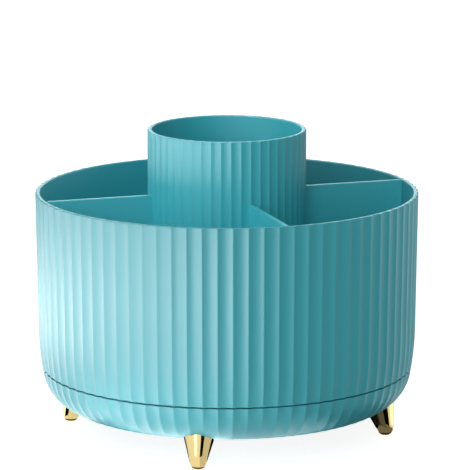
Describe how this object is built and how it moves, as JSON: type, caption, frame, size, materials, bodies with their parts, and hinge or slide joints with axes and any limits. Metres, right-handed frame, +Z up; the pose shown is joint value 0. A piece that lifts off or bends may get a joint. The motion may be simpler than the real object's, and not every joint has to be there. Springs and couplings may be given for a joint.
{
  "type": "rotating desk caddy",
  "caption": "Round fluted caddy that turns on its base: outer compartments round a taller centre cup, on small gold cone feet.",
  "frame": {"origin": "on the ground, on the turning axis", "axes": "+Z up along the turning axis, -Y towards the front of the picture, +X to its right"},
  "size_m": [0.161, 0.161, 0.1294],
  "materials": {
    "turquoise_plastic": "matte moulded ABS",
    "gold_plating": "gold electroplate on moulded ABS, mirror bright",
    "natural_acetal": "moulded acetal, natural white",
    "cage_nylon": "moulded nylon, black",
    "bearing_steel": "ground and polished steel",
    "zinc_steel": "zinc plated steel"
  },
  "bodies": {
    "base": {"base_dish": "turquoise_plastic", "lower_race": "natural_acetal", "lower_race_screws": "zinc_steel", "pivot_bush": "natural_acetal", "pivot_washer": "zinc_steel", "pivot_screw": "zinc_steel", "foot_front": "gold_plating", "foot_right": "gold_plating", "foot_rear": "gold_plating", "foot_left": "gold_plating", "foot_screws": "zinc_steel"},
    "carousel": {"outer_tub": "turquoise_plastic", "divider_insert": "turquoise_plastic", "insert_screws": "zinc_steel", "upper_race": "natural_acetal", "upper_race_screws": "zinc_steel"},
    "cage": {"ball_cage": "cage_nylon", "bearing_balls": "bearing_steel"}
  },
  "joints": [
    {"name": "carousel_turn", "type": "hinge", "parent": "base", "child": "carousel", "pos_m": [0, 0, 0], "axis": [0, 0, 1], "continuous": true},
    {"name": "cage_turn", "type": "hinge", "parent": "base", "child": "cage", "pos_m": [0, 0, 0], "axis": [0, 0, 1], "continuous": true}
  ],
  "couplings": [
    {"joint": "cage_turn", "follows": "carousel_turn", "ratio": 0.5}
  ]
}
